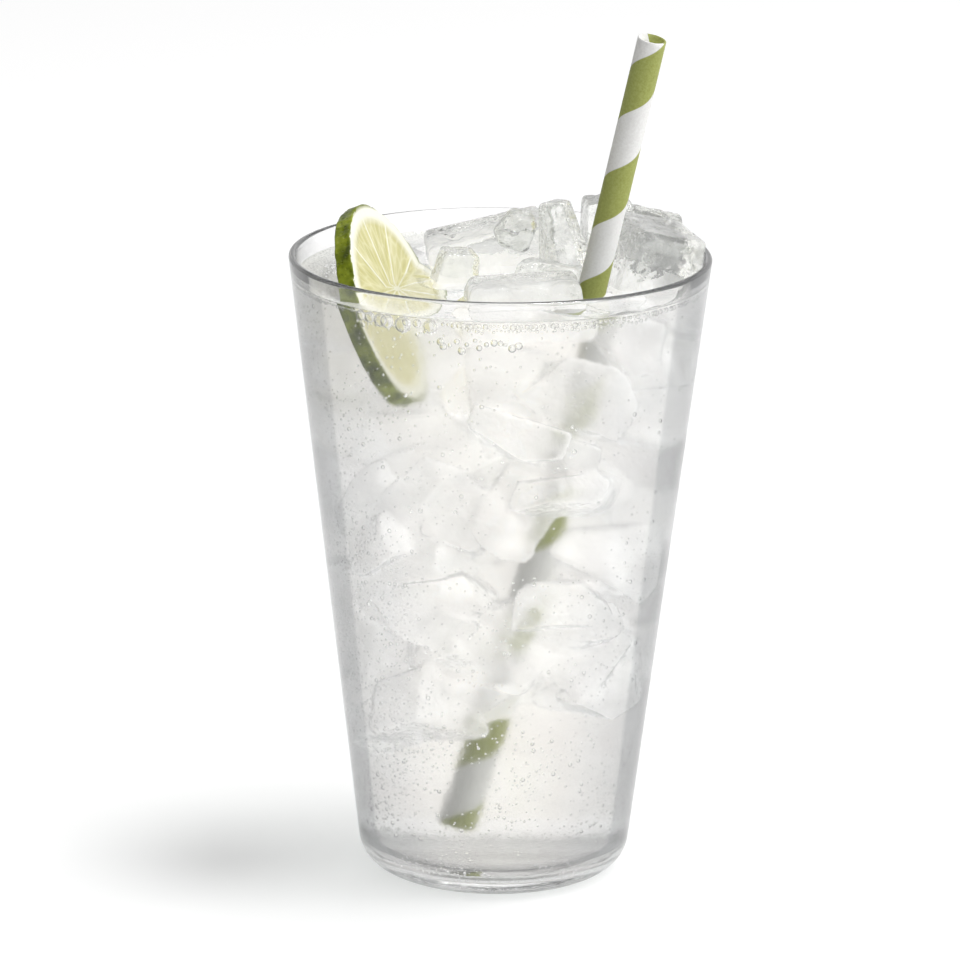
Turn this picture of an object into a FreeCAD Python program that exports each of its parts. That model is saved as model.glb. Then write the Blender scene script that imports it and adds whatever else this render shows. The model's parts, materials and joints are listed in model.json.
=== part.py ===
# A tall glass of clear soda with ice, a lime slice and a paper straw.
# Millimetres. The origin is the middle of the glass's foot, +Z is up, and -Y is the front.
import FreeCAD, Part
import math
import os
import Sketcher
from FreeCAD import Vector

# ---- driving dimensions ------------------------------------------------------------------

glassSizes = {
    "rimDiameter": 90,        # outside, over the lip
    "baseDiameter": 56.7,     # where the straight side would meet the table
    "glassHeight": 135,
    "wallThickness": 1.5,
    "floorThickness": 4,
    "heelRadius": 7.5,        # outer curve from side to foot
    "innerHeelRadius": 6,     # inner curve from side to floor
    "pushUpHeight": 0.8,      # hollow under the foot
    "pushUpRadius": 17,
}

drinkSizes = {
    "freeboard": 5,           # from the lip down to the surface
}

strawSizes = {
    "strawDiameter": 6,
    "strawWall": 0.45,
    "strawLength": 180,
    "strawInset": 19.2,       # where it passes the surface, in from the wall
    "strawPlace": -36.2,      # heading of that place, from +X
    "strawLean": 13.9,        # from upright
    "strawHeading": -32.7,    # the way it leans, from +X
    "strawFootRise": 7,       # lower end above the inside floor: the ice holds it up
}

limeSizes = {
    "limeDiameter": 44,
    "limeThickness": 3.8,
    "rindRound": 0.5,         # softened edges of the cut
    "limeTurn": -16.3,        # the way its face looks, from +X
    "limeTip": 65.4,          # its face, from lying flat
    "limeSeatHeading": -138.2,  # where it leans on the wall, from +X
    "limeSeatDrop": 5.1,      # that place, below the surface
    "limeSeatGap": 0.5,
}

iceFits = {
    "iceWallGap": 0.5,        # melted away next to the glass
    "sleeveGap": 0.3,         # melted away next to the straw and the lime
    "iceRim": 90,             # the rim that the cubes below are sized for: they follow it
}

# Every ice cube that stands above the surface: its length, width and height, the draft of its
# sides, how far its edges have melted round, how far its middle lies in from the wall, the
# heading of its middle from +X, its middle above the surface, and its yaw, pitch and roll.
iceColumns = ("Length", "Width", "Height", "Draft", "Round",
              "Inset", "Heading", "Rise", "Yaw", "Pitch", "Roll")
iceCubes = {
    "ice_slab": (28, 17, 15, 5, 1.6, 25.7, 97.5, -0.2, 4, -13, 7),
    "ice_peak": (11, 11, 22, 7, 1.2, 28.9, 18, 4.6, 32, -8, -8),
    "ice_post": (12, 11, 22, 3, 1.2, 11.6, 42.5, 1.8, 12, -3, 2),
    "ice_block": (20, 19, 20, 4, 2, 11.5, -2, 2, 26, 14, 8),
    "ice_front": (26, 13, 12, 6, 2, 22.3, -76, -1.6, 6, -3, 8),
    "ice_middle": (16, 11, 14, 5, 1.6, 30.6, -35, -2.2, -14, 5, -6),
    "ice_flake": (14, 10, 6, 8, 1.2, 7.4, 27, 7.4, -16, 8, 12),
    "ice_small": (10, 9, 12, 5, 1.6, 32.9, -162.5, 0.6, 16, 8, 6),
    "ice_chip": (8, 7, 8, 6, 1.6, 34.6, 66, 8.6, 20, 20, 20),
}
# What was there first, and trims each of them.
iceNeighbours = {
    "ice_slab": ("limeShade",),
    "ice_peak": ("ice_slab",),
    "ice_post": ("ice_slab", "ice_peak"),
    "ice_block": ("strawSleeve", "ice_peak", "ice_post"),
    "ice_front": ("strawSleeve", "ice_peak", "ice_block", "limeShade"),
    "ice_middle": ("strawSleeve", "ice_slab", "ice_peak", "ice_block", "ice_front"),
    "ice_flake": ("ice_post", "ice_block"),
    "ice_small": ("limeShade", "ice_slab", "ice_peak", "ice_front", "ice_middle"),
    "ice_chip": ("ice_slab", "ice_peak", "ice_small"),
}

doc = FreeCAD.newDocument("iced_soda")
sheet = doc.addObject("Spreadsheet::Sheet", "sizes")
usedRows = 0


def camel(node, word=""):
    first, *rest = node.split("_")
    return first + "".join(part.capitalize() for part in rest) + word


def fillSheet(values):
    global usedRows
    for alias, value in values.items():
        usedRows += 1
        sheet.set("A%d" % usedRows, alias)
        sheet.set("B%d" % usedRows, str(value))
        sheet.setAlias("B%d" % usedRows, alias)


for values in (glassSizes, drinkSizes, strawSizes, limeSizes, iceFits):
    fillSheet(values)
for node, row in iceCubes.items():
    fillSheet({camel(node, column): value for column, value in zip(iceColumns, row)})
doc.recompute()


def size(alias):
    return float(sheet.get(alias))


# Expressions that several pieces share.
wallSlope = "(sizes.rimDiameter - sizes.baseDiameter) / 2 / sizes.glassHeight"
wallAcross = "sizes.wallThickness / cos(atan(%s))" % wallSlope    # the wall, measured level
surfaceHeight = "(sizes.glassHeight - sizes.freeboard)"


def insideRadius(height):
    return "(sizes.baseDiameter / 2 + %s * %s - %s)" % (wallSlope, height, wallAcross)


# ---- sketches ----------------------------------------------------------------------------

def newBody(label):
    body = doc.addObject("PartDesign::Body", camel(label, "Body"))
    body.Label = label
    return body


def newSketch(body, role):
    sketch = body.newObject("Sketcher::SketchObject", body.Name + "Sketch")
    plane = next(f for f in body.Origin.OriginFeatures if f.Role == role)
    sketch.AttachmentSupport = (plane, "")
    sketch.MapMode = "FlatFace"
    return sketch


def addLine(sketch, start, end, construction=False):
    line = Part.LineSegment(Vector(*start, 0), Vector(*end, 0))
    return sketch.addGeometry(line, construction)


def addArc(sketch, centre, radius, startAngle, endAngle):
    circle = Part.Circle(Vector(*centre, 0), Vector(0, 0, 1), radius)
    return sketch.addGeometry(Part.ArcOfCircle(circle, startAngle, endAngle), False)


def bind(sketch, expression, kind, *where):
    index = sketch.addConstraint(Sketcher.Constraint(kind, *where))
    sketch.setExpression("Constraints[%d]" % index, expression)


def fix(sketch, kind, *where):
    sketch.addConstraint(Sketcher.Constraint(kind, *where))


def addSideLine(sketch):
    """The straight outer side, run on down to the table: the line that the walls follow."""
    base, rim = size("baseDiameter") / 2, size("rimDiameter") / 2
    side = addLine(sketch, (base, 0), (rim, size("glassHeight")), True)
    bind(sketch, "sizes.baseDiameter / 2", "DistanceX", -1, 1, side, 1, base)
    fix(sketch, "PointOnObject", side, 1, -1)
    bind(sketch, "sizes.rimDiameter / 2", "DistanceX", -1, 1, side, 2, rim)
    bind(sketch, "sizes.glassHeight", "DistanceY", -1, 1, side, 2, size("glassHeight"))
    return side


def revolve(body, sketch):
    turn = body.newObject("PartDesign::Revolution", body.Name + "Turn")
    turn.Profile = sketch
    turn.ReferenceAxis = (sketch, ["V_Axis"])
    turn.Angle = 360
    sketch.Visibility = False
    return turn


# First guesses for the corners of the section; the constraints hold the real ones.
sideAngle = math.atan((size("rimDiameter") - size("baseDiameter")) / 2 / size("glassHeight"))
outward = (math.cos(sideAngle), -math.sin(sideAngle))


def alongSide(height, inset):
    """The point at this height on a line that lies inset inside the outer side."""
    across = size("baseDiameter") / 2 + math.tan(sideAngle) * height - inset / math.cos(sideAngle)
    return across, height


def stepOut(point, distance):
    return point[0] + outward[0] * distance, point[1] + outward[1] * distance


# ---- the glass ---------------------------------------------------------------------------

def makeGlass():
    body = newBody("glass")
    sketch = newSketch(body, "XZ_Plane")
    wall, floor = size("wallThickness"), size("floorThickness")
    heel, innerHeel = size("heelRadius"), size("innerHeelRadius")
    push, pushRadius = size("pushUpHeight"), size("pushUpRadius")

    domeRadius = (pushRadius ** 2 + push ** 2) / (2 * push)
    domeAngle = math.asin(pushRadius / domeRadius)
    heelCentre = alongSide(heel, heel)
    lipCentre = alongSide(size("glassHeight") - wall / 2, wall / 2)
    innerCentre = alongSide(floor + innerHeel, wall + innerHeel)
    below, up = -math.pi / 2, math.pi - sideAngle

    dome = addArc(sketch, (0, push - domeRadius), domeRadius, math.pi / 2 - domeAngle, math.pi / 2)
    foot = addLine(sketch, (pushRadius, 0), (heelCentre[0], 0))
    heelArc = addArc(sketch, heelCentre, heel, below, -sideAngle)
    outerSide = addLine(sketch, stepOut(heelCentre, heel), stepOut(lipCentre, wall / 2))
    lip = addArc(sketch, lipCentre, wall / 2, -sideAngle, up)
    innerSide = addLine(sketch, stepOut(lipCentre, -wall / 2), stepOut(innerCentre, innerHeel))
    innerArc = addArc(sketch, innerCentre, innerHeel, below, -sideAngle)
    floorLine = addLine(sketch, (innerCentre[0], floor), (0, floor))
    axis = addLine(sketch, (0, floor), (0, push))
    side = addSideLine(sketch)

    fix(sketch, "Coincident", dome, 1, foot, 1)
    fix(sketch, "Tangent", foot, 2, heelArc, 1)
    fix(sketch, "Tangent", heelArc, 2, outerSide, 1)
    fix(sketch, "Tangent", outerSide, 2, lip, 1)
    fix(sketch, "Tangent", lip, 2, innerSide, 1)
    fix(sketch, "Tangent", innerSide, 2, innerArc, 2)
    fix(sketch, "Tangent", innerArc, 1, floorLine, 1)
    fix(sketch, "Coincident", floorLine, 2, axis, 1)
    fix(sketch, "Coincident", axis, 2, dome, 2)
    fix(sketch, "PointOnObject", foot, 1, -1)
    fix(sketch, "Horizontal", foot)
    fix(sketch, "Horizontal", floorLine)
    fix(sketch, "PointOnObject", dome, 3, -2)
    fix(sketch, "PointOnObject", axis, 1, -2)
    fix(sketch, "PointOnObject", axis, 2, -2)
    fix(sketch, "PointOnObject", outerSide, 1, side)
    fix(sketch, "PointOnObject", outerSide, 2, side)
    fix(sketch, "Parallel", outerSide, innerSide)
    bind(sketch, "sizes.pushUpRadius", "DistanceX", -1, 1, foot, 1, pushRadius)
    bind(sketch, "sizes.pushUpHeight", "DistanceY", -1, 1, axis, 2, push)
    bind(sketch, "sizes.heelRadius", "Radius", heelArc, heel)
    bind(sketch, "sizes.innerHeelRadius", "Radius", innerArc, innerHeel)
    bind(sketch, "sizes.wallThickness / 2", "Radius", lip, wall / 2)
    bind(sketch, "sizes.floorThickness", "DistanceY", -1, 1, axis, 1, floor)
    bind(sketch, "sizes.glassHeight - sizes.wallThickness / 2",
         "DistanceY", -1, 1, lip, 3, lipCentre[1])
    revolve(body, sketch)
    return body


# ---- the straw and the lime --------------------------------------------------------------

def strawPlacement():
    """It leans through its place in the surface, and hangs a little above the floor."""
    foot = "(sizes.floorThickness + sizes.strawFootRise)"
    reach = "(%s - sizes.strawInset)" % insideRadius(surfaceHeight)
    back = "(%s - %s) * tan(sizes.strawLean)" % (surfaceHeight, foot)
    base = "vector({0} * cos(sizes.strawPlace) - {1} * cos(sizes.strawHeading); " \
           "{0} * sin(sizes.strawPlace) - {1} * sin(sizes.strawHeading); {2})".format(reach, back, foot)
    return "placement(%s; rotation(sizes.strawHeading; sizes.strawLean; 0))" % base


def makeStraw():
    body = newBody("straw")
    sketch = newSketch(body, "XY_Plane")
    outer = size("strawDiameter") / 2
    inner = outer - size("strawWall")
    for radius, expression in ((outer, "sizes.strawDiameter / 2"),
                               (inner, "sizes.strawDiameter / 2 - sizes.strawWall")):
        ring = sketch.addGeometry(Part.Circle(Vector(), Vector(0, 0, 1), radius), False)
        fix(sketch, "Coincident", ring, 3, -1, 1)
        bind(sketch, expression, "Radius", ring, radius)
    tube = body.newObject("PartDesign::Pad", "strawTube")
    tube.Profile = sketch
    tube.setExpression("Length", "sizes.strawLength")
    body.setExpression("Placement", strawPlacement())
    return body


def limePlacement():
    """The near edge of its back leans on the wall, and its face looks right and up."""
    face = "sin(sizes.limeTip)"
    seat = "(%s - sizes.limeSeatDrop)" % surfaceHeight
    reach = "(%s - sizes.limeSeatGap)" % insideRadius(seat)
    radius, half = "sizes.limeDiameter / 2", "sizes.limeThickness / 2"
    across = "%s * cos(sizes.limeSeatHeading) - %s * sin(sizes.limeTurn) + %s * %s * cos(sizes.limeTurn)"
    along = "%s * sin(sizes.limeSeatHeading) + %s * cos(sizes.limeTurn) + %s * %s * sin(sizes.limeTurn)"
    centre = "vector(%s; %s; %s)" % (across % (reach, radius, half, face),
                                     along % (reach, radius, half, face),
                                     "%s + %s * cos(sizes.limeTip)" % (seat, half))
    return "placement(%s; rotation(sizes.limeTurn; sizes.limeTip; 0))" % centre


def makeLime():
    body = newBody("lime_slice")
    sketch = newSketch(body, "XY_Plane")
    radius = size("limeDiameter") / 2
    ring = sketch.addGeometry(Part.Circle(Vector(), Vector(0, 0, 1), radius), False)
    fix(sketch, "Coincident", ring, 3, -1, 1)
    bind(sketch, "sizes.limeDiameter / 2", "Radius", ring, radius)
    disc = body.newObject("PartDesign::Pad", "limeDisc")
    disc.Profile = sketch
    disc.Midplane = True
    disc.setExpression("Length", "sizes.limeThickness")
    rind = body.newObject("PartDesign::Fillet", "limeRind")
    rind.Base = (disc, [""])
    rind.UseAllEdges = True
    rind.setExpression("Radius", "sizes.rindRound")
    body.setExpression("Placement", limePlacement())
    return body


def makeKeptClear(name, radius, length, placement):
    """A round space, a little larger than what is in it, which ice doesn't enter."""
    space = doc.addObject("Part::Cylinder", name)
    space.setExpression("Radius", radius + " + sizes.sleeveGap")
    space.setExpression("Height", length)
    space.setExpression("Placement", placement)
    return space


def makeStrawSleeve():
    return makeKeptClear("strawSleeve", "sizes.strawDiameter / 2", "sizes.strawLength",
                         strawPlacement())


def makeLimeShade():
    """The lime and all the space behind it, on the wall's side."""
    back = " * placement(vector(0; 0; -sizes.rimDiameter); rotation(0; 0; 0))"
    return makeKeptClear("limeShade", "sizes.limeDiameter / 2",
                         "sizes.rimDiameter + sizes.limeThickness / 2 + sizes.sleeveGap",
                         limePlacement() + back)


# ---- the ice -----------------------------------------------------------------------------

def makeMouthSpace():
    """The inside of the glass, run on up past the lip, less the gap that ice keeps to it."""
    top = "(sizes.glassHeight * 1.3)"
    space = doc.addObject("Part::Cone", "mouthSpace")
    space.setExpression("Radius1", insideRadius("0") + " - sizes.iceWallGap")
    space.setExpression("Radius2", insideRadius(top) + " - sizes.iceWallGap")
    space.setExpression("Height", top)
    return space


def iceSize(node, column):
    return "(sizes.%s * sizes.rimDiameter / sizes.iceRim)" % camel(node, column)


def makeIceBlock(node):
    """A cube from a tray: a rectangle drawn up with draft, its edges melted round."""
    alias = "sizes." + camel(node)
    body = newBody(node + "_block")
    sketch = newSketch(body, "XY_Plane")
    sketch.setExpression("AttachmentOffset.Base.z", "-%s / 2" % iceSize(node, "Height"))
    half = size(camel(node, "Length")) / 2, size(camel(node, "Width")) / 2
    corners = [(-half[0], -half[1]), (half[0], -half[1]), (half[0], half[1]), (-half[0], half[1])]
    lines = [addLine(sketch, corners[i], corners[(i + 1) % 4]) for i in range(4)]
    for i, direction in enumerate(("Horizontal", "Vertical", "Horizontal", "Vertical")):
        fix(sketch, "Coincident", lines[i], 2, lines[(i + 1) % 4], 1)
        fix(sketch, direction, lines[i])
    fix(sketch, "Symmetric", lines[0], 1, lines[2], 1, -1, 1)
    bind(sketch, iceSize(node, "Length"), "DistanceX", lines[0], 1, lines[0], 2, 2 * half[0])
    bind(sketch, iceSize(node, "Width"), "DistanceY", lines[1], 1, lines[1], 2, 2 * half[1])
    block = body.newObject("PartDesign::Pad", camel(node, "Pad"))
    block.Profile = sketch
    block.setExpression("Length", iceSize(node, "Height"))
    block.setExpression("TaperAngle", "-%sDraft" % alias)
    melted = body.newObject("PartDesign::Fillet", camel(node, "Melted"))
    melted.Base = (block, [""])
    melted.UseAllEdges = True
    melted.setExpression("Radius", iceSize(node, "Round"))
    reach = "(%s - %s)" % (insideRadius(surfaceHeight), iceSize(node, "Inset"))
    centre = "vector({0} * cos({1}Heading); {0} * sin({1}Heading); {2} + {3})".format(
        reach, alias, surfaceHeight, iceSize(node, "Rise"))
    turn = "rotation({0}Yaw; {0}Pitch; {0}Roll)".format(alias)
    body.setExpression("Placement", "placement(%s; %s)" % (centre, turn))
    return body


def cutFrom(base, tool, name):
    cut = doc.addObject("Part::Cut", name)
    cut.Base = base
    cut.Tool = tool
    return cut


def makeIce(node, mouthSpace, standing):
    """The block, kept inside the glass and off whatever was there first."""
    piece = doc.addObject("Part::Common", camel(node, "Inside"))
    piece.Base = makeIceBlock(node)
    piece.Tool = mouthSpace
    for neighbour in iceNeighbours[node]:
        piece = cutFrom(piece, standing[neighbour], camel(node, camel("Off_" + neighbour)))
    piece.Label = node
    return piece


# ---- the drink ---------------------------------------------------------------------------

def makeDrink(immersed):
    """The inside of the glass, full up to the surface, round all that stands in it."""
    body = newBody("drink_fill")
    sketch = newSketch(body, "XZ_Plane")
    wall, floor, innerHeel = size("wallThickness"), size("floorThickness"), size("innerHeelRadius")
    surface = size("glassHeight") - size("freeboard")
    innerCentre = alongSide(floor + innerHeel, wall + innerHeel)
    surfaceEdge = alongSide(surface, wall)

    floorLine = addLine(sketch, (0, floor), (innerCentre[0], floor))
    innerArc = addArc(sketch, innerCentre, innerHeel, -math.pi / 2, -sideAngle)
    innerSide = addLine(sketch, stepOut(innerCentre, innerHeel), surfaceEdge)
    surfaceLine = addLine(sketch, surfaceEdge, (0, surface))
    axis = addLine(sketch, (0, surface), (0, floor))
    side = addSideLine(sketch)

    fix(sketch, "Tangent", floorLine, 2, innerArc, 1)
    fix(sketch, "Tangent", innerArc, 2, innerSide, 1)
    fix(sketch, "Coincident", innerSide, 2, surfaceLine, 1)
    fix(sketch, "Coincident", surfaceLine, 2, axis, 1)
    fix(sketch, "Coincident", axis, 2, floorLine, 1)
    fix(sketch, "Horizontal", floorLine)
    fix(sketch, "Horizontal", surfaceLine)
    fix(sketch, "PointOnObject", axis, 1, -2)
    fix(sketch, "PointOnObject", axis, 2, -2)
    fix(sketch, "Parallel", innerSide, side)
    bind(sketch, "sizes.wallThickness", "Distance", innerSide, 2, side, wall)
    bind(sketch, "sizes.innerHeelRadius", "Radius", innerArc, innerHeel)
    bind(sketch, "sizes.floorThickness", "DistanceY", -1, 1, axis, 2, floor)
    bind(sketch, "sizes.glassHeight - sizes.freeboard", "DistanceY", -1, 1, axis, 1, surface)
    revolve(body, sketch)

    drink = body
    for piece in immersed:
        drink = cutFrom(drink, piece, camel("drink_" + piece.Label))
    drink.Label = "drink"
    return drink


# ---- the whole ---------------------------------------------------------------------------

glass = makeGlass()
straw = makeStraw()
lime = makeLime()
doc.recompute()
mouthSpace = makeMouthSpace()
standing = {"strawSleeve": makeStrawSleeve(), "limeShade": makeLimeShade()}
for node in iceCubes:
    standing[node] = makeIce(node, mouthSpace, standing)
ice = [standing[node] for node in iceCubes]
drink = makeDrink([straw, lime] + ice)
doc.recompute()

# ---- checks and files --------------------------------------------------------------------

failed = [o.Name for o in doc.Objects if {"Invalid", "Error"} & set(o.State)]
if failed:
    raise SystemExit("these did not compute: " + ", ".join(failed))

os.makedirs("parts", exist_ok=True)
for piece in [glass, drink, straw, lime] + ice:
    shape = piece.Shape
    if shape.isNull() or not shape.isValid() or len(shape.Solids) != 1:
        raise SystemExit("%s is not one sound solid" % piece.Label)
    shape.exportStep("parts/%s.step" % piece.Label)
    print("%-11s %8.1f mm3" % (piece.Label, shape.Volume))
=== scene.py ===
import json
import math
import random

import bmesh
import bpy
from mathutils import Euler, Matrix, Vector, noise

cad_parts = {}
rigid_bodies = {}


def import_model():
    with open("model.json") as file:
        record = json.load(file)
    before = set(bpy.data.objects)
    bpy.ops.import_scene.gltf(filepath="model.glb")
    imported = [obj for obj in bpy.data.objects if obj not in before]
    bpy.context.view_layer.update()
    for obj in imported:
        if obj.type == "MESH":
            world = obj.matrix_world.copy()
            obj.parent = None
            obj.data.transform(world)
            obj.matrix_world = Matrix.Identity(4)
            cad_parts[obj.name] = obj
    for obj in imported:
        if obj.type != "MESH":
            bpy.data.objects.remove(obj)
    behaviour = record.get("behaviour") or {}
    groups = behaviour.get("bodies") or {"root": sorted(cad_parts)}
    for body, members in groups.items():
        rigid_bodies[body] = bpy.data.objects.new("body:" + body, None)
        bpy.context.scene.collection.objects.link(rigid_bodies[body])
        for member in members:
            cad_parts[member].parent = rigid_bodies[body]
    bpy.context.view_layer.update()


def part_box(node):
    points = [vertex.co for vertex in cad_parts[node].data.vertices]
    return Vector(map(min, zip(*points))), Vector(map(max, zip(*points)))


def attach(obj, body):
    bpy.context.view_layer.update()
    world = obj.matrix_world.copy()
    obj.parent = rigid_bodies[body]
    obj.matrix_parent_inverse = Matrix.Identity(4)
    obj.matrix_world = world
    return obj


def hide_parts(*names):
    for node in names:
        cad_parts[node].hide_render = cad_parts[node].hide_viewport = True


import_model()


def mm(length):
    return length / 1000


def hexColour(text):
    channels = [int(text[i:i + 2], 16) / 255 for i in (1, 3, 5)]
    linear = [c / 12.92 if c <= 0.04045 else ((c + 0.055) / 1.055) ** 2.4 for c in channels]
    return (*linear, 1)


def setStops(elements, stops):
    while len(elements) > 1:
        elements.remove(elements[0])
    for i, (place, colour) in enumerate(stops):
        element = elements[0] if i == 0 else elements.new(place)
        element.position = place
        element.color = hexColour(colour) if isinstance(colour, str) else (colour,) * 3 + (1,)


# Adds a node. Inputs are values, sockets, or nodes whose first live output is meant; stops
# belong to a ramp, and fields are the node's other settings.
def addNode(tree, kind, inputs=None, stops=(), **fields):
    made = tree.nodes.new(kind)
    for field, value in fields.items():
        setattr(made, field, value)
    if stops:
        setStops(made.color_ramp.elements, stops)
    for name, value in (inputs or {}).items():
        if isinstance(value, bpy.types.Node):
            value = next(output for output in value.outputs if output.enabled)
        if isinstance(value, bpy.types.NodeSocket):
            tree.links.new(value, made.inputs[name])
        elif isinstance(value, str):
            made.inputs[name].default_value = hexColour(value)
        else:
            made.inputs[name].default_value = value
    return made


def newMaterial(name):
    material = bpy.data.materials.new(name)
    material.use_nodes = True
    material.node_tree.nodes.clear()
    return material, material.node_tree


def addObject(name, data):
    made = bpy.data.objects.new(name, data)
    bpy.context.scene.collection.objects.link(made)
    return made


def meshPiece(name, vertices, faces, materials):
    mesh = bpy.data.meshes.new(name)
    mesh.from_pydata([tuple(v) for v in vertices], [], faces)
    for material in materials:
        mesh.materials.append(material)
    mesh.shade_smooth()
    return addObject(name, mesh)


def circle(steps):
    return [(math.cos(2 * math.pi * i / steps), math.sin(2 * math.pi * i / steps))
            for i in range(steps)]


# Faces between two rings of corners that start at a and at b.
def band(a, b, steps):
    return [(a + i, a + (i + 1) % steps, b + (i + 1) % steps, b + i) for i in range(steps)]


# Turns a profile of (radius, height) round the Z axis. Both of its ends lie on the axis.
def turnedPiece(name, profile, steps, materials):
    vertices = [(0, 0, profile[0][1])]
    for radius, height in profile[1:-1]:
        vertices += [(radius * c, radius * s, height) for c, s in circle(steps)]
    vertices.append((0, 0, profile[-1][1]))
    last = len(vertices) - 1
    faces = [(0, 1 + (i + 1) % steps, 1 + i) for i in range(steps)]
    for row in range(len(profile) - 3):
        faces += band(1 + row * steps, 1 + (row + 1) * steps, steps)
    faces += [(last - steps + i, last - steps + (i + 1) % steps, last) for i in range(steps)]
    return meshPiece(name, vertices, faces, materials)


def arc(centre, radius, start, end, steps):
    turns = [math.radians(start + (end - start) * i / steps) for i in range(steps + 1)]
    return [(centre[0] + radius * math.cos(t), centre[1] + radius * math.sin(t)) for t in turns]


def addModifier(piece, kind, **fields):
    modifier = piece.modifiers.new(kind.lower(), kind)
    for field, value in fields.items():
        setattr(modifier, field, value)
    return modifier


# Works out the piece's modifiers and leaves it a plain mesh.
def settle(piece):
    graph = bpy.context.evaluated_depsgraph_get()
    mesh = bpy.data.meshes.new_from_object(piece.evaluated_get(graph))
    piece.modifiers.clear()
    piece.data = mesh
    mesh.name = piece.name


def editMesh(piece, work):
    mesh = bmesh.new()
    mesh.from_mesh(piece.data)
    work(mesh)
    mesh.to_mesh(piece.data)
    mesh.free()
    piece.data.update()


# Cuts a mesh at a height. What is over the cut goes if clear_outer is given.
def cutAt(mesh, height, up=1, **how):
    return bmesh.ops.bisect_plane(mesh, geom=mesh.verts[:] + mesh.edges[:] + mesh.faces[:],
                                  plane_co=(0, 0, height), plane_no=(0, 0, up), **how)


def hand(piece, slot, *nodes):
    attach(piece, "root")
    if nodes:
        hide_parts(*nodes)


# Light passes a clear piece on its way to the table and to what lies behind it, tinted a
# little, so its shadow is pale. The eye sees the clear finish itself.
def letLightPass(tree, finish, tint):
    rays = addNode(tree, "ShaderNodeLightPath").outputs
    either = addNode(tree, "ShaderNodeMath", {0: rays["Is Shadow Ray"], 1: rays["Is Diffuse Ray"]},
                     operation="MAXIMUM")
    clear = addNode(tree, "ShaderNodeBsdfTransparent", {"Color": tint})
    mixed = addNode(tree, "ShaderNodeMixShader", {0: either, 1: finish, 2: clear})
    addNode(tree, "ShaderNodeOutputMaterial", {"Surface": mixed})


# Soda-lime glass, pressed and fire-polished: clear, its skin very slightly wavy.
def clearGlass(settings):
    material, tree = newMaterial("sodaLimeGlassPressed")
    place = addNode(tree, "ShaderNodeTexCoord").outputs["Object"]
    waves = addNode(tree, "ShaderNodeTexNoise",
                    {"Vector": place, "Scale": 1 / settings["waveLength"], "Detail": 1.0})
    skin = addNode(tree, "ShaderNodeBump", {"Height": waves, "Strength": settings["waveStrength"],
                                            "Distance": settings["waveDepth"]})
    film = addNode(tree, "ShaderNodeTexNoise",
                   {"Vector": place, "Scale": 1 / settings["filmLength"], "Detail": 4.0})
    tone = addNode(tree, "ShaderNodeValToRGB", {"Fac": film},
                   stops=[(0.35, "#FCFBFB"), (0.7, "#FFFFFF")])
    shine = addNode(tree, "ShaderNodeMapRange", {"Value": film, "To Max": settings["dullest"]})
    # Painted reflection and painted shade: the glass is tinted greyer where it's seen aslant, and darker
    # near the table, in its foot.
    turned = addNode(tree, "ShaderNodeLayerWeight", {"Blend": 0.5})
    paintedEdgeGrey = addNode(tree, "ShaderNodeValToRGB", {"Fac": turned.outputs["Facing"]},
                     stops=[(0.5, "#FFFFFF"), (0.72, "#DFE0E0"), (0.95, "#ABACAE")])
    parts = addNode(tree, "ShaderNodeSeparateXYZ", {0: place})
    low, high = settings["footFade"]
    footShadeMask = addNode(tree, "ShaderNodeMapRange", {"Value": parts.outputs["Z"], "From Min": low,
                                                 "From Max": high})
    foot = addNode(tree, "ShaderNodeValToRGB", {"Fac": footShadeMask},
                   stops=[(0.0, settings["foot"]), (1.0, "#FFFFFF")])
    for grey in (paintedEdgeGrey, foot):
        tone = addNode(tree, "ShaderNodeMix", {0: 1.0, 6: tone, 7: grey}, data_type="RGBA",
                       blend_type="MULTIPLY")
    glassy = addNode(tree, "ShaderNodeBsdfPrincipled",
                     {"Base Color": tone, "Roughness": shine, "Normal": skin, "IOR": settings["ior"],
                      "Specular IOR Level": settings["mirror"], "Transmission Weight": 1.0})
    letLightPass(tree, glassy, settings["shade"])
    return material


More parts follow.
